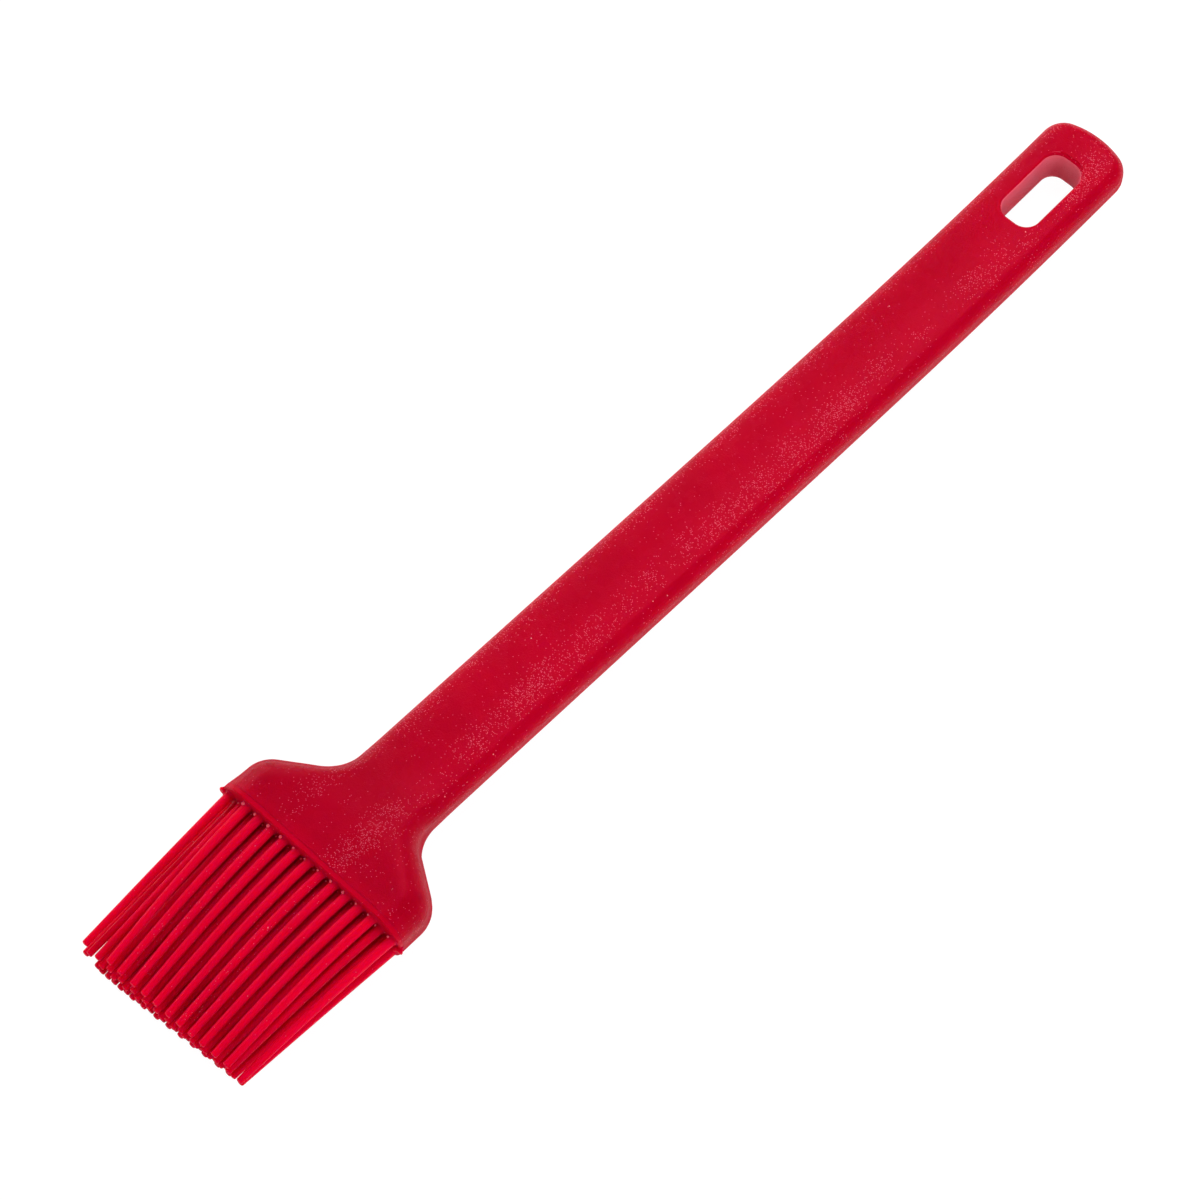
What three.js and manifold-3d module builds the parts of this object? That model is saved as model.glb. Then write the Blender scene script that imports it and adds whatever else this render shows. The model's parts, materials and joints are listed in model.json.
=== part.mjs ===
/**
 * Silicone pastry brush, lying flat on a table.
 *
 * Three mouldings make it up:
 *   handle_sleeve     soft silicone skin of the handle and the flared head, one closed skin with a
 *                     pocket for the core, a socket for the bristles and a lined slot to hang it by
 *   core              stiff nylon blade inside the sleeve, with an eye round the slot's lining
 *   bristle_moulding  silicone plug and lip with the tapered strands moulded on
 *
 * Millimetres. While the pieces are drawn, x runs from the mouth of the head (x = 0) to the end of
 * the handle, y runs across, and z = 0 is the middle of the head's thickness. At the end the whole
 * brush is set down on the table: z = 0 under it, and the origin under the middle of its box.
 */
import * as THREE from 'three';
import Module from 'manifold-3d';
import { mergeVertices } from 'three/addons/utils/BufferGeometryUtils.js';

const wasm = await Module();
wasm.setup();

// ------------------------------------------------------------------ sizes of the sleeve
const bodyLength = 215.3; //       from the mouth of the head to the end of the handle
const headWidth = 44;
const headThickness = 13;
const headEdgeRadius = 5.7; //     rounding along the head's two sides
const headStraight = 4.4; //      how far the head's sides run straight behind the mouth
const shoulderRadius = 6.4; //     convex bend where the sides turn in
const shoulderSlope = 57.2; //     degrees between the flanks and the long axis
const neckRadius = 7.6; //         concave bend into the handle
const taperRunOut = 6; //          how far past the neck the thickness still falls

const handleWidth = 18.9;
const handleThickness = 7.9;
const handleEdgeRadius = 2.9;
const handleCrownRadius = 45; //   the handle's two faces are slightly crowned
const endRadius = 23.5; //         plan radius of the handle's end
const endCornerRadius = 4.9;
const endNose = 3.4; //            length over which the end rounds off in side view

const touchStation = 154; //       where the handle's underside touches the table
const tailLift = 2.8; //           rise of the handle's end above that point

// ------------------------------------------------------------------ slot, pocket and socket
const slotLength = 18.1;
const slotWidth = 8.8;
const slotCornerRadius = 3.3;
const slotEdgeRound = 0.5; //      rounding where the slot meets the handle's faces
const slotEndWall = 8.6; //        from the slot's outer end to the end of the handle
const slotLining = 1.4; //         silicone left round the slot, inside the core's eye

const skinWall = 1.8; //           silicone beside and past the core
const fit = 0.3; //                clearance between two mouldings, all round

const coreThickness = 3.2;
const coreEdgeRadius = 0.8;

// ------------------------------------------------------------------ sizes of the bristles
const socketSideWall = 2.2; //     silicone beside the socket that takes the plug
const socketFaceWall = 1.2; //     silicone above and below it
const plugDepth = 7; //            how deep the plug sits in the head
const plugEdgeRadius = 1.5;
const lipThickness = 0.7; //       plate between the mouth and the roots of the strands
const lipInset = 0.25; //          how far the lip stays inside the head's outline
const earReach = 0.9; //           the lip's moulding ears at mid-thickness: forward reach,
const earSpread = 0.8; //          reach beyond the head's side
const earThickness = 0.8;

const strandRows = [11, 14, 13, 14, 11]; // strands in each row, upper face first
const strandSideMargin = 1.6; //    from the head's side to the middle of the outermost roots
const strandFaceMargin = 2.5; //    from the head's faces to the middle of the outer rows
const strandLength = 36.5;
const strandRootDiameter = 1.85;
const strandTipDiameter = 1.35;
const strandConvergence = 0.098; //   share by which the pack is narrower at its tips
const tipRowSpacing = 1.6; //       row spacing where the drooped tips lie on each other
const tipClearance = 0.7; //        between the lowest tips and the table
const tipLean = 0.5; //             sideways lean of the lower rows' tips
const topTipLean = -1.2; //         sideways lean of the upper row's tips
const tipSplay = 1.1; //            how far the outermost tips stand out, on one side
const tipWander = 0.2; //           unevenness of the tips from strand to strand
const tipSkewUpper = 0.03; //       slant of the line of tips, upper row
const tipSkewLower = 0.087; //      slant of the line of tips, lowest row

// ------------------------------------------------------------------ fineness of the facets
const edgeSteps = 4;
const faceSteps = 6;
const bendSteps = 5;
const handleStep = 11;
const strandSides = 6;
const strandSteps = 6;
const overrun = 2; //              how far a cutting body runs past what it cuts

const { clamp, smoothstep, lerp, degToRad } = THREE.MathUtils;

// ------------------------------------------------------------------ solids from rings of points

/** Closed solid through rings of equally many points, capped at both ends. */
function loft(rings) {
  const count = rings[0].length;
  const positions = [];
  const middle = (ring) => ring.reduce((sum, p) => sum.add(p), new THREE.Vector3()).divideScalar(count);
  const triangle = (a, b, c) => positions.push(...a.toArray(), ...b.toArray(), ...c.toArray());
  rings.slice(1).forEach((next, i) => {
    const ring = rings[i];
    for (let k = 0; k < count; k += 1) {
      const n = (k + 1) % count;
      triangle(ring[k], ring[n], next[k]);
      triangle(ring[n], next[n], next[k]);
    }
  });
  const first = rings[0];
  const last = rings[rings.length - 1];
  for (let k = 0; k < count; k += 1) {
    const n = (k + 1) % count;
    triangle(middle(first), first[n], first[k]);
    triangle(middle(last), last[k], last[n]);
  }
  const geometry = new THREE.BufferGeometry();
  geometry.setAttribute('position', new THREE.Float32BufferAttribute(positions, 3));
  return solid(geometry);
}

/** Manifold solid of a closed geometry, turned so that its faces point out. */
function solid(geometry) {
  const bare = geometry.clone();
  bare.deleteAttribute('normal');
  bare.deleteAttribute('uv');
  const merged = mergeVertices(bare, 1e-5);
  const vertices = merged.attributes.position.array;
  const index = Array.from(merged.index.array);
  const corners = [];
  for (let i = 0; i < index.length; i += 3) {
    const [a, b, c] = index.slice(i, i + 3);
    if (a !== b && b !== c && c !== a) corners.push([a, b, c]);
  }
  const point = (i) => new THREE.Vector3().fromArray(vertices, 3 * i);
  const volume = corners.reduce((sum, [a, b, c]) => sum + point(a).dot(point(b).cross(point(c))), 0);
  const outward = volume > 0 ? corners : corners.map(([a, b, c]) => [a, c, b]);
  return new wasm.Manifold(
    new wasm.Mesh({
      numProp: 3,
      vertProperties: new Float32Array(vertices),
      triVerts: new Uint32Array(outward.flat()),
    }),
  );
}

/** Named three.js mesh of a finished solid. */
function piece(name, body, look) {
  const { vertProperties, triVerts } = body.getMesh();
  const geometry = new THREE.BufferGeometry();
  geometry.setAttribute('position', new THREE.Float32BufferAttribute(vertProperties, 3));
  geometry.setIndex(Array.from(triVerts));
  geometry.computeVertexNormals();
  const mesh = new THREE.Mesh(geometry, new THREE.MeshStandardMaterial(look));
  mesh.name = name;
  return mesh;
}

// ------------------------------------------------------------------ the sleeve's outer form

/** Slope of the straight flank between shoulder and neck, and where the neck ends. */
const neck = (() => {
  const slope = degToRad(shoulderSlope);
  const bends = shoulderRadius + neckRadius;
  const fall = (headWidth - handleWidth) / 2 - bends * (1 - Math.cos(slope));
  const end = headStraight + bends * Math.sin(slope) + fall / Math.tan(slope);
  return { slope, end };
})();

/** Height of the middle of the thickness: level in the head, down to the table, up at the tail. */
function centreHeight(x) {
  const drop = (headThickness - handleThickness) / 2;
  const descent = clamp((x - neck.end) / (touchStation - neck.end), 0, 1);
  const tail = Math.max(0, x - touchStation) / (bodyLength - touchStation);
  return tailLift * tail ** 2 - (drop * descent * (5 - descent ** 4)) / 4;
}

/**
 * Half of the plan outline from the mouth to the tip of the handle, drawn inset from the real
 * edge. All its arcs keep their centres, so the inset is the same everywhere.
 */
function halfOutline(inset) {
  const outline = new THREE.Path();
  const quarter = Math.PI / 2;
  outline.moveTo(0, headWidth / 2 - inset);
  outline.lineTo(headStraight, headWidth / 2 - inset);
  outline.absarc(
    headStraight, headWidth / 2 - shoulderRadius, shoulderRadius - inset,
    quarter, quarter - neck.slope, true,
  );
  outline.absarc(
    neck.end, handleWidth / 2 + neckRadius, neckRadius + inset,
    -quarter - neck.slope, -quarter, false,
  );
  const centre = bodyLength - endRadius;
  const across = handleWidth / 2 - endCornerRadius;
  const along = Math.sqrt((endRadius - endCornerRadius) ** 2 - across ** 2);
  const turn = Math.atan2(across, along);
  outline.absarc(centre + along, across, endCornerRadius - inset, quarter, turn, true);
  outline.absarc(centre, 0, endRadius - inset, turn, 0, true);
  return outline.curves.flatMap((curve) => {
    const steps = curve.isLineCurve ? Math.ceil(curve.getLength() / handleStep) : bendSteps;
    return curve.getPoints(steps).slice(1);
  });
}

/** Half-width of a sampled outline at x. */
function widthAt(outline, x) {
  const after = outline.findIndex((p) => p.x >= x);
  if (after <= 0) return outline[0].y;
  const [a, b] = [outline[after - 1], outline[after]];
  return lerp(a.y, b.y, (x - a.x) / (b.x - a.x));
}

/** Stations along x where an outline inset from the edge bends, from a start station on. */
function stationsOf(inset, start) {
  const outline = halfOutline(inset);
  const taperEnd = neck.end + taperRunOut;
  const extra = [start, neck.end + taperRunOut / 2, taperEnd].filter((x) => x >= start);
  const bends = outline.map((p) => p.x).filter((x) => x > start);
  const stations = [...new Set([...extra, ...bends])].sort((a, b) => a - b);
  const apart = stations.filter((x, i) => i === 0 || x - stations[i - 1] > 0.02);
  return apart.map((x) => ({ x, halfWidth: widthAt(outline, x) }));
}

/** Share of the way from the head's section, 0, to the handle's, 1. */
function handleShare(x) {
  return smoothstep(x, headStraight + shoulderRadius / 2, neck.end + taperRunOut);
}

/** How much of the thickness is left where the end rounds off, in a body that stops at end. */
function noseShare(x, end, nose) {
  const into = Math.max(0, x - (end - nose)) / nose;
  return Math.sqrt(Math.max(0, 1 - into * into));
}

/**
 * Ring of points round a section across the brush: two crowned or flat faces joined by rounded
 * edges, all arcs tangent to each other.
 */
function sectionRing({ x, halfWidth, halfThickness, edgeRadius, crown = 0 }, edges, faces) {
  const radius = Math.min(edgeRadius, 0.95 * halfThickness, 0.95 * halfWidth);
  const half = halfWidth - radius;
  const reach = crown > 0 ? 1 / crown - radius : Infinity;
  const tilt = crown > 0 ? Math.asin(Math.min(0.9, half / reach)) : 0;
  const sag = crown > 0 ? (1 - Math.cos(tilt)) * reach : 0;
  const edgeHeight = Math.max(halfThickness - radius - sag, 0.02 * halfThickness);
  const upper = [];
  for (let k = 0; k <= edges; k += 1) {
    const angle = ((Math.PI / 2 - tilt) * k) / edges;
    upper.push([half + radius * Math.cos(angle), edgeHeight + radius * Math.sin(angle)]);
  }
  for (let k = 1; k < faces / 2; k += 1) {
    const angle = tilt * (1 - (2 * k) / faces);
    const y = crown > 0 ? Math.sin(angle) / crown : upper[edges][0] * (1 - (2 * k) / faces);
    upper.push([y, halfThickness - (crown > 0 ? (1 - Math.cos(angle)) / crown : 0)]);
  }
  const crest = faces % 2 === 0 ? [[0, halfThickness]] : [];
  const top = [...upper, ...crest, ...upper.map(([y, z]) => [-y, z]).reverse()];
  const round = [...top, ...top.map(([y, z]) => [-y, -z])];
  return round.map(([y, z]) => new THREE.Vector3(x, y, z + centreHeight(x)));
}

/** The sleeve's outer form, solid. */
function outerForm() {
  const rings = stationsOf(0, 0).map(({ x, halfWidth }) => {
    const share = handleShare(x);
    const nose = noseShare(x, bodyLength, endNose);
    return sectionRing(
      {
        x,
        halfWidth: Math.max(halfWidth, 0.05),
        halfThickness: Math.max(0.5 * nose * lerp(headThickness, handleThickness, share), 0.05),
        edgeRadius: lerp(headEdgeRadius, handleEdgeRadius, share),
        crown: share / handleCrownRadius,
      },
      edgeSteps,
      faceSteps,
    );
  });
  return loft(rings);
}

// ------------------------------------------------------------------ core, pocket and slot

/** Where the core starts: behind the plug that it backs. */
const coreStart = plugDepth + fit;

/** Blade that follows the sleeve inside its skin, grown all round by a margin. */
function blade(margin) {
  const inset = skinWall + fit - margin;
  const start = coreStart - margin + fit;
  const rings = stationsOf(inset, start).map(({ x, halfWidth }) =>
    sectionRing(
      {
        x,
        halfWidth: Math.max(halfWidth, 0.8),
        halfThickness: coreThickness / 2 + margin,
        edgeRadius: coreEdgeRadius + margin,
      },
      1,
      2,
    ),
  );
  return loft(rings);
}

/** Points round the slot's outline, grown by a margin. */
function slotOutline(margin) {
  const outer = bodyLength - slotEndWall - slotCornerRadius;
  const inner = bodyLength - slotEndWall - slotLength + slotCornerRadius;
  const across = slotWidth / 2 - slotCornerRadius;
  const radius = slotCornerRadius + margin;
  const quarter = Math.PI / 2;
  const corners = [[outer, across], [outer, -across], [inner, -across], [inner, across]];
  return corners.flatMap(([x, y], turn) => {
    const corner = new THREE.Path();
    corner.absarc(x, y, radius, quarter * (1 - turn), -quarter * turn, true);
    return corner.getPoints(bendSteps);
  });
}

/** Upright prism over the slot's outline, grown by a margin, its rims rounded over by a radius. */
function slotPrism(margin, rim) {
  const half = handleThickness / 2;
  const levels = [{ z: half + overrun, grow: rim }];
  for (let k = 0; k <= edgeSteps && rim > 0; k += 1) {
    const angle = (Math.PI * k) / (2 * edgeSteps);
    levels.push({ z: half - rim * (1 - Math.cos(angle)), grow: rim * (1 - Math.sin(angle)) });
  }
  const lower = levels.map(({ z, grow }) => ({ z: -z, grow })).reverse();
  return loft(
    [...levels, ...lower].map(({ z, grow }) =>
      slotOutline(margin + grow).map((p) => new THREE.Vector3(p.x, p.y, z + centreHeight(p.x))),
    ),
  );
}

/** The socket in the head, which takes the plug with a clearance all round. */
const socketWidth = headWidth - 2 * socketSideWall;
const socketThickness = headThickness - 2 * socketFaceWall;

/** Rounded block along x, used for the plug, its socket and the lip. */
function block(start, end, width, thickness, edgeRadius, edges) {
  const half = { halfWidth: width / 2, halfThickness: thickness / 2, edgeRadius };
  return loft([start, end].map((x) => sectionRing({ x, ...half }, edges, 2)));
}

// ------------------------------------------------------------------ the three mouldings

/**
 * The blade grown by margin, with its eye round the slot's lining. In a handle too slim for an eye,
 * it ends where the slot begins.
 */
function eyedBlade(margin) {
  const bodies = blade(margin).subtract(slotPrism(slotLining + fit - margin, 0)).decompose();
  return bodies.reduce((most, next) => (next.volume() > most.volume() ? next : most));
}

function makeSleeve() {
  const pocket = eyedBlade(fit);
  const socket = block(-overrun, coreStart, socketWidth, socketThickness, plugEdgeRadius + fit, 2);
  const body = outerForm().subtract(pocket).subtract(socket).subtract(slotPrism(0, slotEdgeRound));
  return piece('handle_sleeve', body, { color: 0xb90026, roughness: 0.55, metalness: 0 });
}

function makeCore() {
  return piece('core', eyedBlade(0), { color: 0xd8d4ca, roughness: 0.6, metalness: 0 });
}

/** Fixed unevenness between -1 and 1 for a strand, different for each seed. */
function uneven(row, index, seed) {
  const wave = Math.sin(12.9898 * (index + 1) + 78.233 * (row + 1) + 37.719 * seed) * 43758.5453;
  return 2 * (wave - Math.floor(wave)) - 1;
}

/** Spacing of the strands at their roots, across the head and through its thickness. */
const strandPitch = (headWidth - 2 * strandSideMargin) / (Math.max(...strandRows) - 1);
const rowSpacing = (headThickness - 2 * strandFaceMargin) / (strandRows.length - 1);

/** One strand: it leaves the lip square, tapers, droops with its row and draws in at the tip. */
function strand(row, index) {
  const fromMiddle = index - (strandRows[row] - 1) / 2;
  const below = strandRows.length - 1 - row;
  const upper = below / (strandRows.length - 1);
  const rootY = fromMiddle * strandPitch;
  const rootZ = (below - (strandRows.length - 1) / 2) * rowSpacing;
  const table = -headThickness / 2;
  const tipZ = table + tipClearance + strandTipDiameter / 2 + below * tipRowSpacing;
  const outer = Math.max(0, (2 * rootY) / headWidth) ** 4;
  const lean = lerp(tipLean, topTipLean, upper ** 3) + tipSplay * outer;
  const sideways = lean + tipWander * uneven(row, index, 1);
  const reach = strandLength + rootY * lerp(tipSkewLower, tipSkewUpper, upper);
  const start = -fit - lipThickness / 2;
  const end = -fit - lipThickness - reach;
  const rings = [];
  for (let step = 0; step <= strandSteps; step += 1) {
    const share = step / strandSteps;
    const bend = (share * share * (3 - share)) / 2;
    const radius = lerp(strandRootDiameter, strandTipDiameter, share) / 2;
    const y = rootY * (1 - strandConvergence * share) + sideways * bend;
    const centre = new THREE.Vector3(lerp(start, end, share), y, lerp(rootZ, tipZ, bend));
    const ring = [];
    for (let side = 0; side < strandSides; side += 1) {
      const angle = (2 * Math.PI * (side + 0.5)) / strandSides;
      const spoke = new THREE.Vector3(0, Math.cos(angle), Math.sin(angle));
      ring.push(centre.clone().addScaledVector(spoke, radius));
    }
    rings.push(ring);
  }
  return loft(rings);
}

/** Small tab that stands out of the lip at mid-thickness, on one side of the brush. */
function ear(side) {
  const root = headWidth / 2 - 2 * earSpread;
  const tip = headWidth / 2 + earSpread;
  const face = -fit - lipThickness;
  const shape = new THREE.Shape();
  shape.moveTo(-fit, root);
  shape.lineTo(-fit, tip - earSpread);
  shape.lineTo(face, tip);
  shape.lineTo(face - earReach, tip - earSpread / 2);
  shape.lineTo(face - earReach, tip - earSpread);
  shape.lineTo(face, root);
  const geometry = new THREE.ExtrudeGeometry(shape, { depth: earThickness, bevelEnabled: false });
  geometry.translate(0, 0, -earThickness / 2);
  geometry.scale(1, side, 1);
  return solid(geometry);
}

function makeBristles() {
  const lip = block(
    -fit - lipThickness, -fit,
    headWidth - 2 * lipInset, headThickness - 2 * lipInset, headEdgeRadius - lipInset, edgeSteps,
  );
  const plug = block(
    -fit - lipThickness / 2, plugDepth,
    socketWidth - 2 * fit, socketThickness - 2 * fit, plugEdgeRadius, 2,
  );
  const strands = strandRows.flatMap((count, row) =>
    Array.from({ length: count }, (_, index) => strand(row, index)),
  );
  const body = [plug, ear(1), ear(-1), ...strands].reduce((sum, part) => sum.add(part), lip);
  return piece('bristle_moulding', body, { color: 0xd80028, roughness: 0.45, metalness: 0 });
}

// ------------------------------------------------------------------ assembly on the table

const brush = new THREE.Group();
brush.name = 'pastry_brush';
brush.add(makeSleeve(), makeCore(), makeBristles());

const bounds = new THREE.Box3().setFromObject(brush);
const middle = bounds.getCenter(new THREE.Vector3());
brush.position.set(-middle.x, -middle.y, -bounds.min.z);

export default brush;
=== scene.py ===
"""Looks of the silicone pastry brush: camera, table, light, materials and the fine meshes.

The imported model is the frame. The sleeve and the bristles are drawn again here over their CAD
solids, with fine smooth surfaces; the core keeps its CAD mesh. Most dimensions are the CAD's own.
The mouth, the lip, the ears, the slot's rims and walls, the handle's end, and the strands' roots
and tips depart from it by less than 2 mm. The sleeve is drawn without the pocket for its core.

Lengths are metres. Pieces are drawn in the brush's own datum, as in the CAD: x runs from the mouth
of the head to the end of the handle, y across, and z = 0 is the middle of the head's thickness.
place() moves a point from there into the frame.
"""
import json
import math

import bmesh
import bpy
from mathutils import Matrix, Vector


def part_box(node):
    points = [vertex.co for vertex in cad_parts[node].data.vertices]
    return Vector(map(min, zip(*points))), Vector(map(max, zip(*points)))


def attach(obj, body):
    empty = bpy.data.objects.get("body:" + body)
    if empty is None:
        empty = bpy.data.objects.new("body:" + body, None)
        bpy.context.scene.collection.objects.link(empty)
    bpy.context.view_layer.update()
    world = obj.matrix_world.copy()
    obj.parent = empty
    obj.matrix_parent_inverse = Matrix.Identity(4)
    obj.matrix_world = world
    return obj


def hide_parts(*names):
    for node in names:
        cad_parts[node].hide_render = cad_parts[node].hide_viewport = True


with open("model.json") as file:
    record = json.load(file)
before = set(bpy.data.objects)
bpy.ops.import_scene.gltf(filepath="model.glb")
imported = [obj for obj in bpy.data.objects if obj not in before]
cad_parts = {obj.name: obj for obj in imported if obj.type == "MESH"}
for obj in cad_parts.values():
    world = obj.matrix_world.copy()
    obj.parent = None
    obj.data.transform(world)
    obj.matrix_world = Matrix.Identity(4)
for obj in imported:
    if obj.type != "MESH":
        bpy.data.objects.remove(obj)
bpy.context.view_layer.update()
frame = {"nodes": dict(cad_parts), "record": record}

MM = 0.001

# ---------------------------------------------------------------- the brush's dimensions
sleeve_low, sleeve_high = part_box("handle_sleeve")
mounts = {mount["name"]: mount for mount in frame["record"]["mounts"]}

MOUTH_X = sleeve_low.x
MIDDLE_Z = (sleeve_low.z + sleeve_high.z) / 2
BODY_LENGTH = sleeve_high.x - sleeve_low.x
HEAD_WIDTH = sleeve_high.y - sleeve_low.y
HEAD_THICKNESS = sleeve_high.z - sleeve_low.z

HEAD_EDGE = 5.7 * MM  # rounding along the head's sides
HEAD_STRAIGHT = 4.4 * MM
SHOULDER_RADIUS = 6.4 * MM
SHOULDER_SLOPE = math.radians(57.2)
NECK_RADIUS = 7.6 * MM
TAPER_RUN_OUT = 6 * MM
MOUTH_GROOVE = 0.03 * MM  # depth of the groove drawn just behind the mouth, and its place
MOUTH_FLARE = 0.45 * MM  # how far the head's +Y side spreads towards its ear

HANDLE_WIDTH = 18.9 * MM
HANDLE_THICKNESS = 7.9 * MM
HANDLE_EDGE = 2.9 * MM
HANDLE_CROWN = 45 * MM  # radius across the handle's faces
END_RADIUS = 23.5 * MM
END_CORNER = 4.9 * MM

TOUCH_STATION = 154 * MM
TAIL_LIFT = 2.8 * MM

SLOT_LENGTH = 18.1 * MM
SLOT_WIDTH = 8.8 * MM
SLOT_CORNER = 3.3 * MM
SLOT_RIM = 0.7 * MM  # rounding of the slot's rims
SLOT_DRAFT_START, SLOT_DRAFT_END = 0.2 * MM, -1.8 * MM  # heights where its walls lean in
SLOT_SHRINK = 0.2 * MM  # how far its walls stand in from the slot's named size
SLOT_LEDGE = 0.4 * MM  # the same below mid-thickness, where the walls are drafted
SLOT_END = mounts["hang_slot_end"]["pos_m"][0] - MOUTH_X

SOCKET_SIDE_WALL = 2.2 * MM
SOCKET_FACE_WALL = 1.2 * MM
PLUG_DEPTH = 7 * MM
PLUG_EDGE = 1.5 * MM
FIT = 0.3 * MM  # clearance between two mouldings

LIP_THICKNESS = 0.7 * MM
LIP_INSET = 0.01 * MM
LIP_GAP = 0.01 * MM
LIP_ROUND = 0.25 * MM
EAR_REACH = 0.9 * MM
EAR_SPREAD = 0.8 * MM
EAR_THICKNESS = 0.8 * MM
LEFT_EAR_THICKNESS = 2 * EAR_THICKNESS
LEFT_EAR_HEIGHT = 1.5 * MM  # its middle, over the head's mid-thickness

STRAND_ROWS = [11, 14, 13, 14, 11]  # upper face first
STRAND_SIDE_MARGIN = 1.6 * MM
STRAND_FACE_MARGIN = 2.5 * MM
STRAND_LENGTH = 36.5 * MM
STRAND_ROOT = 0.925 * MM  # radii
STRAND_TIP = 0.675 * MM
STRAND_SIDES, STRAND_STEPS = 14, 22
ROOT_FILLET = 0.40 * MM  # growth of a strand where it leaves the lip
ROOT_FILLET_LENGTH = 0.9 * MM
STRAND_CONVERGENCE = 0.098
TIP_ROW_SPACING = 1.0 * MM  # height of the second lowest row of tips over the lowest
TIP_NESTING = 1.3
TIP_ROUND = 0.25 * MM
TIP_CLEARANCE = 0.7 * MM
TIP_LEAN = 0.5 * MM
TOP_TIP_LEAN = -1.7 * MM
TIP_SPLAY = 1.5 * MM  # how far the outermost upper tips spread on the +Y side
TIP_SPLAY_LOWEST = 0.3  # share of that in the lowest row
OUTER_SHORT = 1.1 * MM  # how much shorter the outermost strand on the +Y side is
LOWEST_SHORT = 0.1 * MM
LOWER_LONG = 0.4 * MM  # how much longer the rows between the lowest and the top one are
SECOND_SIDEWAYS = 0.38 * MM  # shift of the second lowest row's tips, to fill the tip line's gaps
MID_WANDER = 0.08 * MM
TIP_WANDER = 0.2 * MM
TIP_SKEW_UPPER = 0.03
TIP_SKEW_LOWER = 0.087

# Beads at the strands' roots, painted bright pink to stand for the glints on the root fillets: row,
# radius, and direction round the strand in degrees.
BEAD_ROWS = [(0, 0.27 * MM, 50), (1, 0.19 * MM, 60)]
BEAD_OUT = 0.35 * MM  # from the lip's face along the strand
BEAD_PROUD = 0.12 * MM  # from the strand's side
BEAD_TURN_WANDER = 14  # degrees
BEAD_SIZE_WANDER = 0.3


def place(x, y, z):
    """A point of the brush's datum, in the frame."""
    return Vector((MOUTH_X + x, y, MIDDLE_Z + z))


def lerp(a, b, share):
    return a + (b - a) * share


def smoothstep(x, low, high):
    share = min(max((x - low) / (high - low), 0), 1)
    return share * share * (3 - 2 * share)


# ---------------------------------------------------------------- node trees


class Graph:
    """One node tree, with short calls for the nodes that the materials share."""

    def __init__(self, tree):
        self.nodes, self.links = tree.nodes, tree.links

    def add(self, kind, settings=None, inputs=None):
        """Adds a node, sets its properties and its sockets, and links sockets given as outputs."""
        node = self.nodes.new(kind)
        for name, value in (settings or {}).items():
            setattr(node, name, value)
        for name, value in (inputs or {}).items():
            if isinstance(value, bpy.types.NodeSocket):
                self.links.new(value, node.inputs[name])
            else:
                node.inputs[name].default_value = value
        return node

    def calc(self, operation, a, b, clamp=False):
        settings = {"operation": operation, "use_clamp": clamp}
        return self.add("ShaderNodeMath", settings, {0: a, 1: b}).outputs[0]

    def parts(self, vector):
        return self.add("ShaderNodeSeparateXYZ", inputs={0: vector}).outputs

    def noise(self, where, scale, detail, roughness):
        inputs = {"Vector": where, "Scale": scale, "Detail": detail, "Roughness": roughness}
        return self.add("ShaderNodeTexNoise", inputs=inputs).outputs["Fac"]

    def scatter(self, where, scale):
        """Distance to the nearest of scattered points, and random numbers of that point."""
        inputs = {"Vector": where, "Scale": scale, "Randomness": 1}
        cells = self.add("ShaderNodeTexVoronoi", {"feature": "F1"}, inputs)
        return cells.outputs["Distance"], self.parts(cells.outputs["Color"])

    def remap(self, value, low, high, to_low=0, to_high=1):
        inputs = {
            "Value": value, "From Min": low, "From Max": high, "To Min": to_low, "To Max": to_high,
        }
        return self.add("ShaderNodeMapRange", inputs=inputs).outputs["Result"]

    def ramp(self, share, stops):
        """Colours blended between stops, each a share and a colour, in rising order."""
        node = self.add("ShaderNodeValToRGB", inputs={"Fac": share})
        elements = node.color_ramp.elements
        for element, (position, colour) in zip(elements, (stops[0], stops[-1])):
            element.position, element.color = position, (*colour, 1)
        for position, colour in stops[1:-1]:
            elements.new(position).color = (*colour, 1)
        return node.outputs["Color"]

    def profile(self, coordinate, low, high, greys):
        """A grey that follows stops, each a share of the way from low to high and a grey."""
        share = self.remap(coordinate, low, high)
        return self.ramp(share, [(position, (grey,) * 3) for position, grey in greys])

    def mix(self, share, a, b):
        inputs = {"Factor": share, "A": a, "B": b}
        return self.add("ShaderNodeMix", {"data_type": "RGBA"}, inputs).outputs["Result"]

    def bump(self, height, strength, distance):
        inputs = {"Height": height, "Strength": strength, "Distance": distance}
        return self.add("ShaderNodeBump", inputs=inputs).outputs["Normal"]


# ---------------------------------------------------------------- camera, table and light

# The photograph's viewpoint: angles in radians, place in metres, lens and sensor in millimetres.
CAMERA_HEADING, CAMERA_PITCH, CAMERA_ROLL = 0.7633, -1.0619, -0.0060
CAMERA_PLACE = (-0.25374, -0.22821, 0.59994)
CAMERA_LENS, CAMERA_SENSOR = 111.26, 36

TABLE_HALF = 3.0
TABLE_GREY = (0.8, 0.8, 0.8, 1)
TABLE_GLOW = 1.08
TABLE_GLOW_SHARE = 0.9


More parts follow.
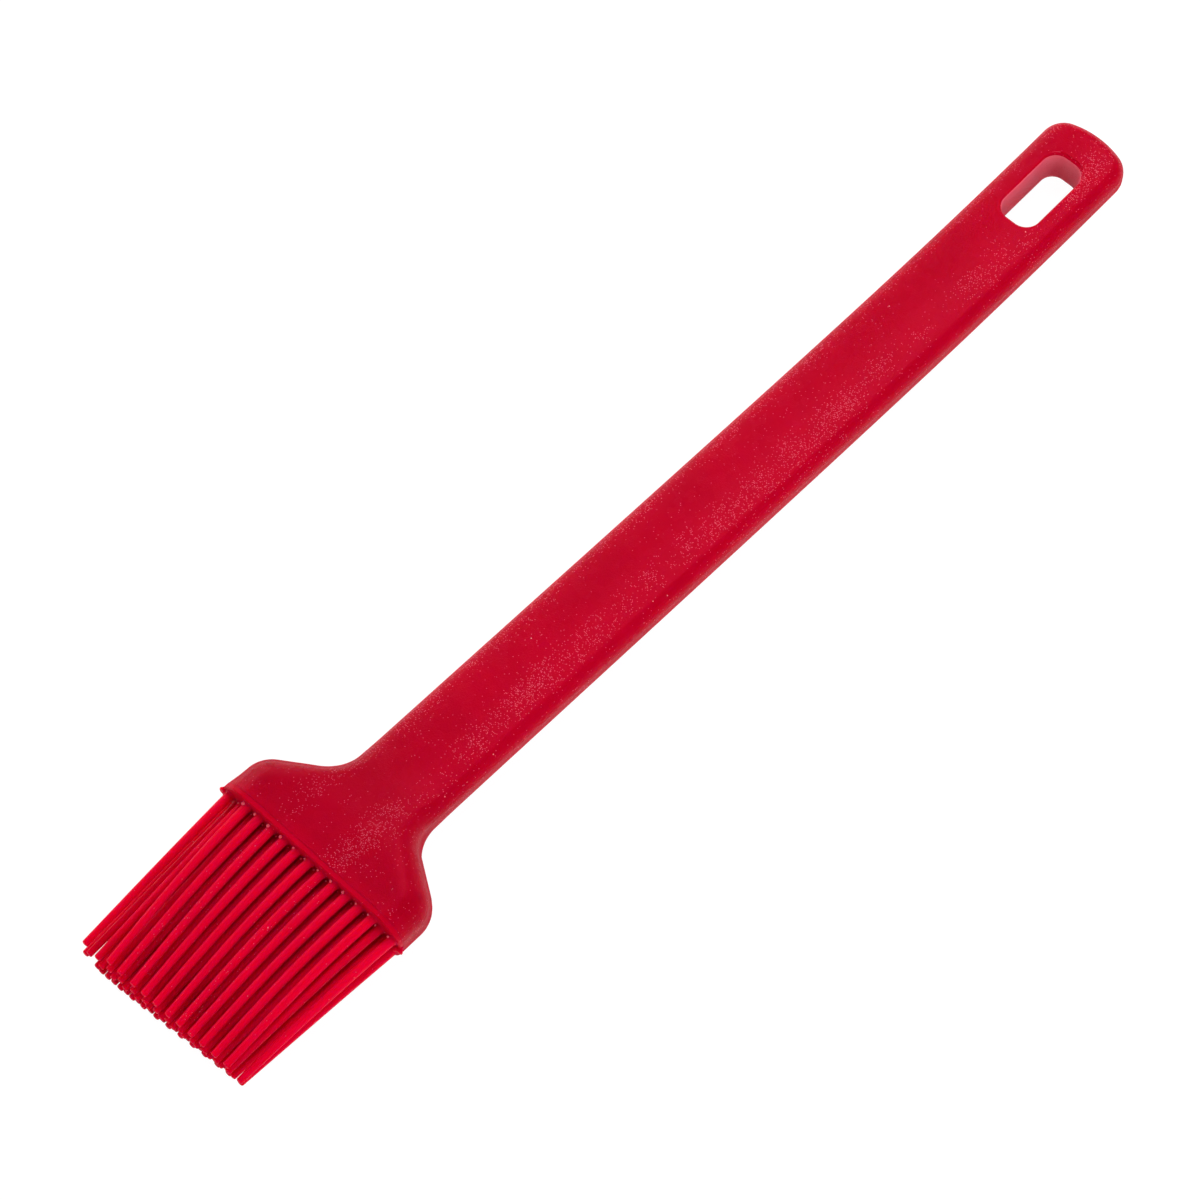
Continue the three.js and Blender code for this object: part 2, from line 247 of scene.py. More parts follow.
def make_camera():
    """The photograph's viewpoint, as a place and a heading in the frame."""
    level_share = math.cos(CAMERA_PITCH)
    forward = Vector((
        level_share * math.cos(CAMERA_HEADING),
        level_share * math.sin(CAMERA_HEADING),
        math.sin(CAMERA_PITCH),
    ))
    level = forward.cross(Vector((0, 0, 1))).normalized()
    rise = level.cross(forward)
    right = level * math.cos(CAMERA_ROLL) + rise * math.sin(CAMERA_ROLL)
    up = rise * math.cos(CAMERA_ROLL) - level * math.sin(CAMERA_ROLL)
    data = bpy.data.cameras.new("camera")
    data.sensor_width = CAMERA_SENSOR
    data.lens = CAMERA_LENS
    data.clip_start = 0.01
    data.clip_end = 20
    camera = bpy.data.objects.new("camera", data)
    turn = Matrix((right, up, -forward)).transposed().to_4x4()
    camera.matrix_world = Matrix.Translation(CAMERA_PLACE) @ turn
    bpy.context.scene.collection.objects.link(camera)
    bpy.context.scene.camera = camera


def make_table():
    """Pale table whose own colour is the white background; it keeps a faint shadow."""
    mesh = bpy.data.meshes.new("table_top")
    corners = [(x * TABLE_HALF, y * TABLE_HALF, 0) for x, y in ((-1, -1), (1, -1), (1, 1), (-1, 1))]
    mesh.from_pydata(corners, [], [(0, 1, 2, 3)])
    table = bpy.data.objects.new("table_top", mesh)
    bpy.context.scene.collection.objects.link(table)
    material = bpy.data.materials.new("table_white")
    material.use_nodes = True
    graph = Graph(material.node_tree)
    graph.nodes.clear()
    matte = graph.add("ShaderNodeBsdfDiffuse", inputs={"Color": TABLE_GREY})
    bright = graph.add(
        "ShaderNodeEmission", inputs={"Color": (1, 1, 1, 1), "Strength": TABLE_GLOW},
    )
    path = graph.add("ShaderNodeLightPath").outputs
    seen = graph.calc("MAXIMUM", path["Is Camera Ray"], path["Is Transmission Ray"])
    seen = graph.calc("MAXIMUM", seen, path["Is Glossy Ray"])
    share = graph.calc("MULTIPLY", seen, TABLE_GLOW_SHARE)
    mixed = graph.add(
        "ShaderNodeMixShader", inputs={0: share, 1: matte.outputs[0], 2: bright.outputs[0]},
    )
    graph.add("ShaderNodeOutputMaterial", inputs={"Surface": mixed.outputs[0]})
    table.data.materials.append(material)


def make_world():
    """A pale room: white round the horizon, dimmer overhead."""
    world = bpy.data.worlds.new("room")
    world.use_nodes = True
    graph = Graph(world.node_tree)
    graph.nodes.clear()
    where = graph.add("ShaderNodeTexCoord").outputs["Generated"]
    greys = [(0.12, (1, 1, 1)), (0.30, (0.15, 0.15, 0.15)), (0.8, (0.06, 0.06, 0.06))]
    colour = graph.ramp(graph.parts(where)["Z"], greys)
    ground = graph.add("ShaderNodeBackground", inputs={"Color": colour, "Strength": 1.0})
    graph.add("ShaderNodeOutputWorld", inputs={"Surface": ground.outputs[0]})
    bpy.context.scene.world = world


def make_lamp(name, place_at, size, power, mirrored=True):
    """Soft rectangular lamp that looks at the brush's middle; size is across and up its face.

    A lamp that isn't mirrored lights the matte colour only and leaves no gloss.
    """
    data = bpy.data.lights.new(name, "AREA")
    data.shape = "RECTANGLE"
    data.size, data.size_y = size
    data.energy = power
    lamp = bpy.data.objects.new(name, data)
    away = Vector(place_at)
    lamp.matrix_world = Matrix.Translation(away) @ away.to_track_quat("Z", "Y").to_matrix().to_4x4()
    lamp.visible_camera = False
    lamp.visible_glossy = mirrored
    bpy.context.scene.collection.objects.link(lamp)


def around(azimuth, elevation, distance):
    """A place over the brush; azimuth is measured in degrees from +X towards +Y."""
    turn, above = math.radians(azimuth), math.radians(elevation)
    return (
        distance * math.cos(above) * math.cos(turn),
        distance * math.cos(above) * math.sin(turn),
        distance * math.sin(above),
    )


# ---------------------------------------------------------------- materials

DUST_PINK = (0.85, 0.30, 0.33, 1)
# Pale pink of the specks that are painted glints and painted sheen.
GLINT_AND_SHEEN_PINK = (0.72, 0.09, 0.14, 1)
# Shares of the way across, from the -Y side to the +Y side, and how many pale specks of painted
# glint and sheen show there: a band of painted glints on the -Y half, painted sheen by the handle's
# +Y edge.
GLINT_AND_SHEEN_REACH = 12 * MM
GLINT_AND_SHEEN_ACROSS = [
    (0.18, 0.12), (0.31, 1), (0.48, 0.06), (0.73, 0.06), (0.83, 0.8), (0.92, 0.8), (1, 0.05),
]
# Shares of the way from the mouth, and lightness, as painted shading: painted shade makes the head
# darker than the handle, which the lamp over the tail lights more, and painted light makes the
# head's last 2.5 mm to the mouth lighter.
HEAD_PAINTED_SHADING_REACH = 42 * MM
HEAD_PAINTED_SHADING_ALONG = [(0, 1), (0.06, 0.86), (0.45, 0.86), (1, 1)]
ROUGHNESS_SPREAD = 0.06
RELIEF_DEPTH = 0.05 * MM


def new_material(name):
    """A material, its node tree, its shader and the object coordinates."""
    material = bpy.data.materials.new(name)
    material.use_nodes = True
    graph = Graph(material.node_tree)
    where = graph.add("ShaderNodeTexCoord").outputs["Object"]
    return material, graph, graph.nodes["Principled BSDF"], where


def spots(graph, where, scale, radius, share, axis):
    """Ones in round spots round scattered points, a share of them chosen by a random number."""
    distance, draw = graph.scatter(where, scale)
    near = graph.calc("LESS_THAN", distance, radius)
    chosen = graph.calc("LESS_THAN", draw[axis], share)
    return graph.calc("MULTIPLY", near, chosen)


def silicone_colour(graph, where, colour, dust, painted_glint_and_sheen):
    """Cloudy colour with sparse dust, pale specks of painted glint and sheen in bands across the
    faces, and painted shading along the head.
    """
    cloud = graph.noise(where, scale=90, detail=4, roughness=0.55)
    darker, lighter = ([factor * channel for channel in colour] for factor in (0.95, 1.05))
    cloudy = graph.ramp(cloud, [(0.3, darker), (0.7, lighter)])
    specks = spots(graph, where, scale=330, radius=0.045, share=dust, axis="X")
    dusty = graph.mix(specks, cloudy, DUST_PINK)

    at = graph.parts(where)
    # Painted glints and sheen: pale specks laid thickest in bands across the faces.
    patches = graph.noise(where, scale=70, detail=3, roughness=0.6)
    glint_and_sheen_density = graph.remap(patches, 0.38, 0.62, 0.1, painted_glint_and_sheen)
    across = graph.profile(at["Y"], -GLINT_AND_SHEEN_REACH, GLINT_AND_SHEEN_REACH, GLINT_AND_SHEEN_ACROSS)
    share = graph.calc("MULTIPLY", across, glint_and_sheen_density)
    grains = spots(graph, where, scale=3500, radius=0.36, share=share, axis="Y")
    with_glint_and_sheen = graph.mix(grains, dusty, GLINT_AND_SHEEN_PINK)

    # Painted shading: the head darker than the handle, and its last 2.5 mm to the mouth lighter.
    painted_shading = graph.profile(at["X"], MOUTH_X, MOUTH_X + HEAD_PAINTED_SHADING_REACH, HEAD_PAINTED_SHADING_ALONG)
    inputs = {0: with_glint_and_sheen, 1: painted_shading}
    return graph.add("ShaderNodeVectorMath", {"operation": "MULTIPLY"}, inputs).outputs["Vector"]


def silicone_roughness(graph, where, roughness):
    """Patchy roughness that rises towards grazing sight, so that edges don't bleach."""
    patchy = graph.remap(
        graph.noise(where, scale=260, detail=2, roughness=0.5), 0, 1,
        roughness - ROUGHNESS_SPREAD, roughness + ROUGHNESS_SPREAD,
    )
    facing = graph.add("ShaderNodeLayerWeight", inputs={"Blend": 0.5}).outputs["Facing"]
    grazing = graph.remap(facing, 0.55, 0.9, 0, 0.6)
    return graph.calc("ADD", patchy, grazing, clamp=True)


def silicone_relief(graph, where, grain):
    """Fine relief with a scatter of raised grains."""
    distance, draw = graph.scatter(where, scale=3800)
    raised = graph.calc("LESS_THAN", draw["X"], 0.45)
    grains = graph.calc("MULTIPLY", graph.calc("SUBTRACT", 1.0, distance), raised)
    fine = graph.noise(where, scale=3000, detail=3, roughness=0.6)
    height = graph.calc("ADD", grains, fine)
    return graph.bump(height, grain, RELIEF_DEPTH)


def silicone(name, colour, roughness, grain, dust, depth, gloss, painted_glint_and_sheen):
    """Moulded silicone: light spreads to depth in it; a fine grain breaks up its gloss.

    dust is the share of scattered specks that show. The last argument is the same for the finer
    pale specks of painted glint and sheen, where they lie thickest; above 1 every speck there
    shows.
    """
    material, graph, shader, where = new_material(name)
    sockets = shader.inputs
    graph.links.new(silicone_colour(graph, where, colour, dust, painted_glint_and_sheen), sockets["Base Color"])
    graph.links.new(silicone_roughness(graph, where, roughness), sockets["Roughness"])
    graph.links.new(silicone_relief(graph, where, grain), sockets["Normal"])
    sockets["Specular Tint"].default_value = (1.0, 0.02, 0.10, 1)
    sockets["IOR"].default_value = 1.41
    sockets["Specular IOR Level"].default_value = gloss
    sockets["Subsurface Weight"].default_value = 0.75
    sockets["Subsurface Radius"].default_value = (1.0, 0.05, 0.08)
    sockets["Subsurface Scale"].default_value = depth
    return material


def nylon(name, colour):
    """Pale moulded nylon with a faint flow mottle."""
    material, graph, shader, where = new_material(name)
    inputs = {"Vector": where, "Scale": 120, "Detail": 5, "Distortion": 0.8}
    mottle = graph.add("ShaderNodeTexNoise", inputs=inputs).outputs["Fac"]
    darker = [0.88 * channel for channel in colour]
    graph.links.new(graph.ramp(mottle, [(0, darker), (1, colour)]), shader.inputs["Base Color"])
    graph.links.new(graph.bump(mottle, 0.2, 0.1 * MM), shader.inputs["Normal"])
    shader.inputs["Roughness"].default_value = 0.55
    return material


# ---------------------------------------------------------------- meshes


def add_piece(name, mesh_builder, material, replaced):
    """A finished mesh object that rides on the brush and stands for a CAD node."""
    mesh = bpy.data.meshes.new(name)
    mesh_builder.to_mesh(mesh)
    mesh_builder.free()
    mesh.materials.append(material)
    piece = bpy.data.objects.new(name, mesh)
    bpy.context.scene.collection.objects.link(piece)
    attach(piece, "root")
    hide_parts(replaced)
    return piece


def loft(rings):
    """Closed skin through rings of equally many points, capped at both ends."""
    builder = bmesh.new()
    rows = [[builder.verts.new(point) for point in ring] for ring in rings]
    count = len(rows[0])
    for lower, upper in zip(rows, rows[1:]):
        for k in range(count):
            n = (k + 1) % count
            builder.faces.new((lower[k], lower[n], upper[n], upper[k]))
    builder.faces.new(rows[0][::-1])
    builder.faces.new(rows[-1])
    bmesh.ops.remove_doubles(builder, verts=builder.verts, dist=1e-6)
    bmesh.ops.recalc_face_normals(builder, faces=builder.faces)
    return builder


def centre_height(x):
    """Height of the middle of the thickness: level head, down to the table, up at the tail."""
    drop = (HEAD_THICKNESS - HANDLE_THICKNESS) / 2
    descent = min(max((x - NECK_END) / (TOUCH_STATION - NECK_END), 0), 1)
    tail = max(0, x - TOUCH_STATION) / (BODY_LENGTH - TOUCH_STATION)
    return TAIL_LIFT * tail**2 - drop * descent * (5 - descent**4) / 4


def neck_end():
    """Where the neck's bend runs into the straight handle."""
    bends = SHOULDER_RADIUS + NECK_RADIUS
    fall = (HEAD_WIDTH - HANDLE_WIDTH) / 2 - bends * (1 - math.cos(SHOULDER_SLOPE))
    return HEAD_STRAIGHT + bends * math.sin(SHOULDER_SLOPE) + fall / math.tan(SHOULDER_SLOPE)


NECK_END = neck_end()


def arc(centre, radius, start, stop, steps, outward=1):
    """Points of an arc, each with its direction into the body."""
    points = []
    for k in range(steps + 1):
        angle = lerp(start, stop, k / steps)
        ray = Vector((math.cos(angle), math.sin(angle)))
        points.append((Vector(centre) + radius * ray, -outward * ray))
    return points


def half_outline():
    """The plan outline from the mouth to the tip on the +Y side, with directions into the body."""
    quarter = math.pi / 2
    inward = Vector((0, -1))

    def straight(start, end, y, step):
        count = max(1, round((end - start) / step))
        return [(Vector((lerp(start, end, k / count), y)), inward) for k in range(count)]

    outline = straight(MOUTH_GROOVE, HEAD_STRAIGHT, HEAD_WIDTH / 2, 0.4 * MM)
    outline += arc(
        (HEAD_STRAIGHT, HEAD_WIDTH / 2 - SHOULDER_RADIUS), SHOULDER_RADIUS,
        quarter, quarter - SHOULDER_SLOPE, 12,
    )
    neck = arc(
        (NECK_END, HANDLE_WIDTH / 2 + NECK_RADIUS), NECK_RADIUS,
        -quarter - SHOULDER_SLOPE, -quarter, 14, outward=-1,
    )
    flank_start, flank_end = outline[-1][0], neck[0][0]
    steps = 5
    outline += [(flank_start.lerp(flank_end, k / steps), outline[-1][1]) for k in range(1, steps)]
    outline += neck[:-1]
    centre = BODY_LENGTH - END_RADIUS
    across = HANDLE_WIDTH / 2 - END_CORNER
    along = math.sqrt((END_RADIUS - END_CORNER) ** 2 - across**2)
    turn = math.atan2(across, along)
    outline += straight(NECK_END, centre + along, HANDLE_WIDTH / 2, 1.2 * MM)
    outline += arc((centre + along, across), END_CORNER, quarter, turn, 14)[:-1]
    outline += arc((centre, 0), END_RADIUS, turn, 0, 12)
    return outline


def handle_share(x):
    """Share of the way from the head's section, 0, to the handle's, 1."""
    return smoothstep(x, HEAD_STRAIGHT + SHOULDER_RADIUS / 2, NECK_END + TAPER_RUN_OUT)


def sag(x, y):
    """How far the crowned faces fall below their crest at y."""
    crown = handle_share(x) / HANDLE_CROWN
    return crown * y * y / 2


def flare(x, y):
    """How far a point of the head's +Y side is moved outwards near the mouth."""
    if x >= HEAD_STRAIGHT or y <= 0:
        return 0
    return MOUTH_FLARE * (1 - x / HEAD_STRAIGHT) ** 1.5 * (2 * y / HEAD_WIDTH) ** 4


def sleeve_ring(edge, inward, inset, edge_steps=10, face_steps=28):
    """Ring of points across the sleeve: rolled edges at both sides, crowned faces between them."""
    share = handle_share(edge.x)
    radius = lerp(HEAD_EDGE, HANDLE_EDGE, share) - inset
    centre = edge + inward * (radius + inset)
    half = lerp(HEAD_THICKNESS, HANDLE_THICKNESS, handle_share(centre.x)) / 2 - inset
    slope = handle_share(centre.x) / HANDLE_CROWN * centre.y * abs(inward.y)
    lean = math.atan(slope)
    seam = centre - inward * radius * math.sin(lean)
    rise = half - sag(seam.x, seam.y) - radius * math.cos(lean)
    side = []
    for k in range(edge_steps + 1):
        angle = (math.pi / 2 - lean) * k / edge_steps
        at = centre - inward * radius * math.cos(angle)
        side.append((at.x, at.y, rise + radius * math.sin(angle)))
    face = []
    for k in range(1, face_steps):
        y = seam.y * (1 - 2 * k / face_steps)
        face.append((seam.x, y, half - sag(seam.x, y)))
    top = side + face + [(x, -y, z) for x, y, z in reversed(side)]
    bottom = [(x, y, -z) for x, y, z in reversed(top)]
    return [place(x, y + flare(x, y), z + centre_height(x)) for x, y, z in top + bottom]


def sleeve_skin():
    """The sleeve's outer surface.

    The curve at the mouth is hollow, not round: its inset grows to a groove MOUTH_GROOVE deep and
    the surface steps back out there.
    """
    steps = 6
    rings = []
    for k in range(steps - 1, -1, -1):
        angle = math.pi / 2 * k / steps
        edge = Vector((MOUTH_GROOVE * (1 - math.sin(angle)), HEAD_WIDTH / 2))
        rings.append((edge, Vector((0, -1)), MOUTH_GROOVE * math.cos(angle)))
    rings += [(edge, inward, 0) for edge, inward in half_outline()]
    return loft([sleeve_ring(*ring) for ring in rings])


def slot_cutter():
    """Upright cutter over the slot's outline, its rims rounded over and its lower walls drafted."""
    quarter = math.pi / 2
    half = HANDLE_THICKNESS / 2
    levels = [(half + 2 * MM, SLOT_RIM - SLOT_SHRINK)]
    rim_steps = 8
    for k in range(rim_steps + 1):
        angle = quarter * k / rim_steps
        level = half - SLOT_RIM * (1 - math.cos(angle))
        levels.append((level, SLOT_RIM * (1 - math.sin(angle)) - SLOT_SHRINK))
    draft = SLOT_LEDGE - SLOT_SHRINK
    below = [
        (-z, grow - draft * (1 - (grow + SLOT_SHRINK) / SLOT_RIM)) for z, grow in reversed(levels)
    ]
    levels += [(SLOT_DRAFT_START, -SLOT_SHRINK), (SLOT_DRAFT_END, -SLOT_LEDGE), *below]
    x1, x0 = SLOT_END - SLOT_CORNER, SLOT_END - SLOT_LENGTH + SLOT_CORNER
    y = SLOT_WIDTH / 2 - SLOT_CORNER
    corners = [(x1, y), (x1, -y), (x0, -y), (x0, y)]
    rings = []
    for level, grow in levels:
        ring = []
        for turn, corner in enumerate(corners):
            start, stop = quarter * (1 - turn), -quarter * turn
            for at, _inward in arc(corner, SLOT_CORNER + grow, start, stop, 20):
                fall = math.copysign(sag(at.x, SLOT_WIDTH / 2), level)
                ring.append(place(at.x, at.y, level - fall + centre_height(at.x)))
        rings.append(ring)
    return loft(rings)


def rounded_box(x0, x1, width, thickness, edge, steps=6, ease=0.0):
    """Block along x with rounded long edges; ease rounds the rim of its x0 end."""
    quarter, ease_steps = math.pi / 2, 4
    stations = [(x0, 0)]
    if ease:
        angles = [quarter * k / ease_steps for k in range(ease_steps + 1)]
        stations = [
            (x0 + ease * (1 - math.cos(angle)), ease * (1 - math.sin(angle))) for angle in angles
        ]
    rings = []
    for x, inset in [*stations, (x1, 0)]:
        radius = edge - inset
        cy, cz = width / 2 - edge, thickness / 2 - edge
        ring = []
        for turn, (sy, sz) in enumerate([(1, 1), (-1, 1), (-1, -1), (1, -1)]):
            for k in range(steps + 1):
                angle = quarter * (turn + k / steps)
                y, z = sy * cy + radius * math.cos(angle), sz * cz + radius * math.sin(angle)
                ring.append(place(x, y, z))
        rings.append(ring)
    return loft(rings)


def cut(piece, cutters):
    """Subtracts each cutter mesh from a piece and applies the result."""
    for builder in cutters:
        mesh = bpy.data.meshes.new("cutter")
        builder.to_mesh(mesh)
        builder.free()
        cutter = bpy.data.objects.new("cutter", mesh)
        bpy.context.scene.collection.objects.link(cutter)
        apply_modifier(piece, "BOOLEAN", operation="DIFFERENCE", solver="EXACT", object=cutter)
        bpy.data.objects.remove(cutter)
        bpy.data.meshes.remove(mesh)


def apply_modifier(piece, kind, **settings):
    """Adds one modifier and bakes it into the piece's mesh."""
    modifier = piece.modifiers.new(kind.lower(), kind)
    for name, value in settings.items():
        setattr(modifier, name, value)
    evaluated = piece.evaluated_get(bpy.context.evaluated_depsgraph_get())
    baked = bpy.data.meshes.new_from_object(evaluated)
    old = piece.data
    piece.modifiers.clear()
    piece.data = baked
    baked.name = old.name
    bpy.data.meshes.remove(old)


def smooth(piece, crease):
    """Smooth shading that stays crisp over edges sharper than crease, weighted by face area."""
    piece.data.shade_smooth()
    piece.data.set_sharp_from_angle(angle=math.radians(crease))
    apply_modifier(piece, "WEIGHTED_NORMAL", mode="FACE_AREA", weight=80, keep_sharp=True)


def paint_slot_walls_lighter(piece, material):
    """Gives the slot's upright walls a paler copy of the silicone: painted light and sheen."""
    piece.data.materials.append(material)
    middle = MOUTH_X + SLOT_END - SLOT_LENGTH / 2
    spare = 0.1 * MM
    for face in piece.data.polygons:
        in_length = abs(face.center.x - middle) < SLOT_LENGTH / 2 + spare
        in_width = abs(face.center.y) < SLOT_WIDTH / 2 + spare
        upright = abs(face.normal.z) < 0.5
        if in_length and in_width and upright:
            face.material_index = 1


def make_sleeve(material, wall_painted_light_material):
    """The handle and head's silicone skin, with its slot and its socket."""
    piece = add_piece("sleeve_skin", sleeve_skin(), material, "handle_sleeve")
    socket = rounded_box(
        -2 * MM, PLUG_DEPTH + FIT,
        HEAD_WIDTH - 2 * SOCKET_SIDE_WALL, HEAD_THICKNESS - 2 * SOCKET_FACE_WALL, PLUG_EDGE + FIT,
    )
    cut(piece, [slot_cutter(), socket])
    # Painted light: the slot's upright walls take the paler copy of the silicone.
    paint_slot_walls_lighter(piece, wall_painted_light_material)
    smooth(piece, 40)


def uneven(row, index, seed):
    """Fixed unevenness between -1 and 1 for a strand, different for each seed."""
    wave = math.sin(12.9898 * (index + 1) + 78.233 * (row + 1) + 37.719 * seed) * 43758.5453
    return 2 * (wave - math.floor(wave)) - 1


PITCH = (HEAD_WIDTH - 2 * STRAND_SIDE_MARGIN) / (max(STRAND_ROWS) - 1)
ROW_SPACING = (HEAD_THICKNESS - 2 * STRAND_FACE_MARGIN) / (len(STRAND_ROWS) - 1)


def strand_path(row, index):
    """The centre line of one strand as a function of the share of its length, and its reach."""
    from_middle = index - (STRAND_ROWS[row] - 1) / 2
    below = len(STRAND_ROWS) - 1 - row
    upper = below / (len(STRAND_ROWS) - 1)
    root_y = from_middle * PITCH
    root_z = (below - (len(STRAND_ROWS) - 1) / 2) * ROW_SPACING
    tip_z = -HEAD_THICKNESS / 2 + TIP_CLEARANCE + STRAND_TIP + TIP_ROW_SPACING * below**TIP_NESTING
    outer = max(0, 2 * root_y / HEAD_WIDTH) ** 4
    splay = TIP_SPLAY * outer * lerp(TIP_SPLAY_LOWEST, 1, smoothstep(upper, 0.2, 0.75))
    sideways = lerp(TIP_LEAN, TOP_TIP_LEAN, upper**3) + splay + TIP_WANDER * uneven(row, index, 1)
    if below == 1:
        sideways -= SECOND_SIDEWAYS
    reach = STRAND_LENGTH + root_y * lerp(TIP_SKEW_LOWER, TIP_SKEW_UPPER, upper)
    reach -= OUTER_SHORT * outer
    if below == 0:
        reach -= LOWEST_SHORT
    elif row > 0:
        reach += LOWER_LONG * (1 - outer)
    wander = MID_WANDER * uneven(row, index, 2)
    start = -FIT - LIP_THICKNESS / 2
    end = -FIT - LIP_THICKNESS - reach

    def at(share):
        bend = share * share * (3 - share) / 2
        y = root_y * (1 - STRAND_CONVERGENCE * share) + sideways * bend
        y += wander * math.sin(math.pi * share)
        return place(lerp(start, end, share), y, lerp(root_z, tip_z, bend))

    return at, start - end


def strand_skin(builder, row, index):
    """One strand: fillet at its root, taper, and a squarely cut tip with a small round."""
    at, length = strand_path(row, index)
    buried = LIP_THICKNESS / 2 / length
    fillet_steps, tip_steps = 6, 5
    shares = [k / STRAND_STEPS for k in range(STRAND_STEPS)]
    shares += [
        buried + ROOT_FILLET_LENGTH * k / fillet_steps / length for k in range(fillet_steps + 1)
    ]
    stations = []
    for share in sorted(shares):
        out = min(max((share - buried) * length / ROOT_FILLET_LENGTH, 0), 1)
        fillet = ROOT_FILLET * (1 - math.sqrt(1 - (1 - out) ** 2))
        stations.append((share, lerp(STRAND_ROOT, STRAND_TIP, share) + fillet))
    for k in range(tip_steps + 1):
        angle = math.pi / 2 * k / tip_steps
        share = 1 - TIP_ROUND * (1 - math.sin(angle)) / length
        stations.append((share, STRAND_TIP - TIP_ROUND * (1 - math.cos(angle))))
    rows = []
    for share, radius in stations:
        centre = at(share)
        ring = []
        for side in range(STRAND_SIDES):
            angle = 2 * math.pi * (side + 0.5) / STRAND_SIDES
            spoke = Vector((0, math.cos(angle), math.sin(angle)))
            ring.append(builder.verts.new(centre + spoke * radius))
        rows.append(ring)
    for lower, upper in zip(rows, rows[1:]):
        for k in range(STRAND_SIDES):
            n = (k + 1) % STRAND_SIDES
            builder.faces.new((lower[k], upper[k], upper[n], lower[n]))
    builder.faces.new(rows[0])
    builder.faces.new(rows[-1][::-1])


def ear_skin(side, height, thickness):
    """The lip's moulding ear on one side: a small rounded tab with a hollowed front edge."""
    face = -FIT - LIP_THICKNESS
    root, tip = HEAD_WIDTH / 2 - 2 * EAR_SPREAD, HEAD_WIDTH / 2 + EAR_SPREAD
    plan = [
        (-LIP_GAP, root), (-LIP_GAP, HEAD_WIDTH / 2 - 0.05 * MM), (face * 0.75, tip - 0.28 * MM),
        (face - 0.1 * MM, tip), (face - 0.38 * MM, tip - 0.05 * MM),
        (face - 0.42 * MM, tip - 0.35 * MM),
    ]
    hollow = [0.46 * MM, 0.58 * MM, 0.78 * MM, EAR_REACH]
    for k, reach in enumerate(hollow):
        plan.append((face - reach, tip - 0.35 * MM - (k + 1) * 0.32 * MM))
    plan.append((face, root))
    middle = Vector((face, root + EAR_SPREAD))
    rings = []
    for level, inset in ((-1, 0.16), (-0.75, 0.04), (0, 0), (0.75, 0.04), (1, 0.16)):
        z = height + level * thickness / 2
        ring = [Vector(point).lerp(middle, inset) for point in plan]
        rings.append([place(at.x, side * at.y, z) for at in ring])
    return loft(rings)


def root_glint_beads():
    """Small beads beside the strands' roots in the two upper rows: painted glints, in a bright
    pink.
    """
    beads = bmesh.new()
    for row, radius, turn in BEAD_ROWS:
        for index in range(STRAND_ROWS[row]):
            at, length = strand_path(row, index)
            angle = math.radians(turn + BEAD_TURN_WANDER * uneven(row, index, 3))
            size = radius * (1 + BEAD_SIZE_WANDER * uneven(row, index, 4))
            root = at(LIP_THICKNESS / 2 / length + BEAD_OUT / length)
            spoke = Vector((0, math.cos(angle), math.sin(angle)))
            centre = Matrix.Translation(root + spoke * (STRAND_ROOT + BEAD_PROUD))
            bmesh.ops.create_icosphere(beads, subdivisions=2, radius=size, matrix=centre)
    return beads


def make_bristles(material, lip_material, glint_bead_material):
    """The lip with its two ears, the plug behind it, and one mesh for each row of strands."""
    def add(name, builder, crease, finish=material):
        smooth(add_piece(name, builder, finish, "bristle_moulding"), crease)

    lip = rounded_box(
        -FIT - LIP_THICKNESS, -LIP_GAP,
        HEAD_WIDTH - 2 * LIP_INSET, HEAD_THICKNESS - 2 * LIP_INSET, HEAD_EDGE - LIP_INSET,
        steps=14, ease=LIP_ROUND,
    )
    for corner in lip.verts:
        corner.co.y += flare(0, corner.co.y)
    add("bristle_lip", lip, 40, lip_material)
    add("bristle_plug", rounded_box(
        -FIT - LIP_THICKNESS / 2, PLUG_DEPTH,
        HEAD_WIDTH - 2 * SOCKET_SIDE_WALL - 2 * FIT,
        HEAD_THICKNESS - 2 * SOCKET_FACE_WALL - 2 * FIT, PLUG_EDGE,
    ), 40)
    add("ear_left", ear_skin(1, LEFT_EAR_HEIGHT, LEFT_EAR_THICKNESS), 50)
    add("ear_right", ear_skin(-1, 0, EAR_THICKNESS), 50)
    # Painted glints: bright pink beads at the roots.
    add("root_glint_beads", root_glint_beads(), 60, glint_bead_material)
    for row, count in enumerate(STRAND_ROWS):
        builder = bmesh.new()
        for index in range(count):
            strand_skin(builder, row, index)
        bmesh.ops.recalc_face_normals(builder, faces=builder.faces)
        add(f"strand_row_{row + 1}", builder, 50)


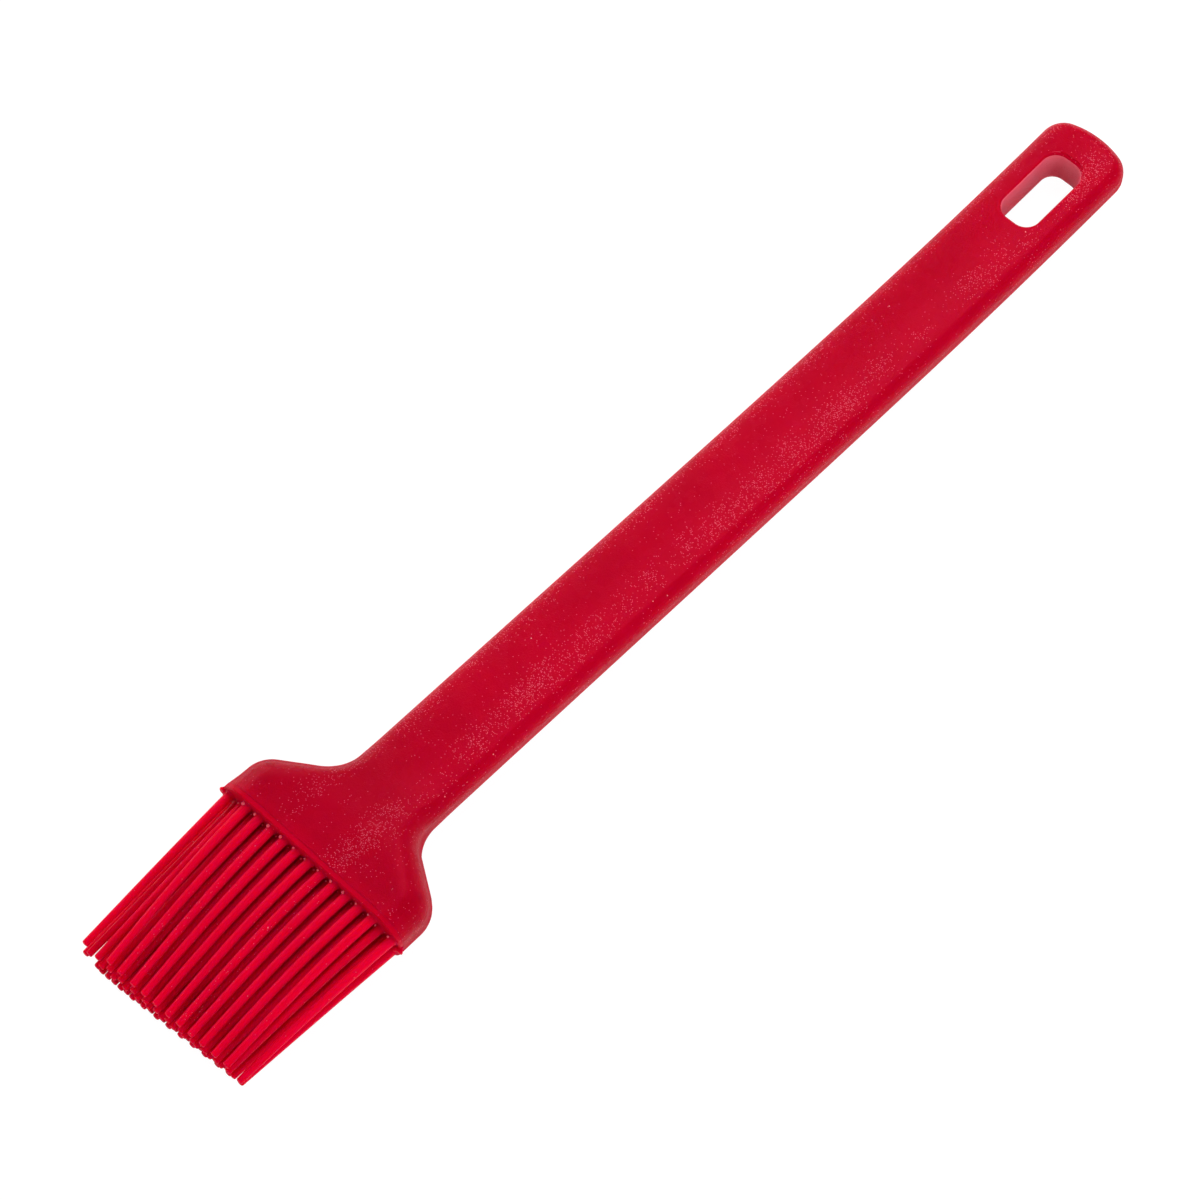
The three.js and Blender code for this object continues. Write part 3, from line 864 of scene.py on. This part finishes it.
# ---------------------------------------------------------------- the scene

make_camera()
make_table()
make_world()
make_lamp("tail_softbox", (0.5, 0.13, 1.0), size=(0.4, 0.6), power=5.8)
make_lamp("front_fill", around(-160, 55, 1.6), size=(1.0, 0.8), power=1.5, mirrored=False)
make_lamp("left_side", around(78, 33, 1.4), size=(1.4, 0.9), power=10.5)
make_lamp("right_side", around(-95, 20, 1.4), size=(1.6, 0.8), power=8, mirrored=False)
make_lamp("right_high", around(-90, 45, 1.4), size=(0.9, 0.7), power=3.5, mirrored=False)
make_lamp("tip_light", around(158, 19, 1.4), size=(0.5, 0.3), power=2)

sleeve_red = silicone(
    "sleeve_silicone", (0.50, 0.0002, 0.018),
    roughness=0.27, grain=0.5, dust=0.10, depth=1.8 * MM, gloss=0.22, painted_glint_and_sheen=1.0,
)
# Painted light and sheen: a paler copy of the sleeve's silicone, for the slot's walls.
slot_painted_light = silicone(
    "slot_wall_painted_light", (0.80, 0.13, 0.19),
    roughness=0.5, grain=0.6, dust=0.10, depth=0.8 * MM, gloss=0.22, painted_glint_and_sheen=2.0,
)
bristle_red = silicone(
    "bristle_silicone", (0.71, 0.0004, 0.030),
    roughness=0.3, grain=0.2, dust=0.04, depth=4 * MM, gloss=0.14, painted_glint_and_sheen=0.1,
)
lip_red = silicone(
    "lip_silicone", (0.55, 0.0002, 0.018),
    roughness=0.27, grain=0.4, dust=0.06, depth=0.7 * MM, gloss=0.14, painted_glint_and_sheen=0.1,
)
# Painted glints: the bright pink of the root beads.
glint_bead_pink = silicone(
    "glint_bead_silicone", (1.0, 0.13, 0.19),
    roughness=0.6, grain=0.2, dust=0.0, depth=0.3 * MM, gloss=0.1, painted_glint_and_sheen=0,
)
make_sleeve(sleeve_red, slot_painted_light)
make_bristles(bristle_red, lip_red, glint_bead_pink)

core = frame["nodes"]["core"]
core.data.materials.clear()
core.data.materials.append(nylon("core_nylon", (0.68, 0.64, 0.57)))

scene = bpy.context.scene
scene.view_settings.view_transform = "Standard"
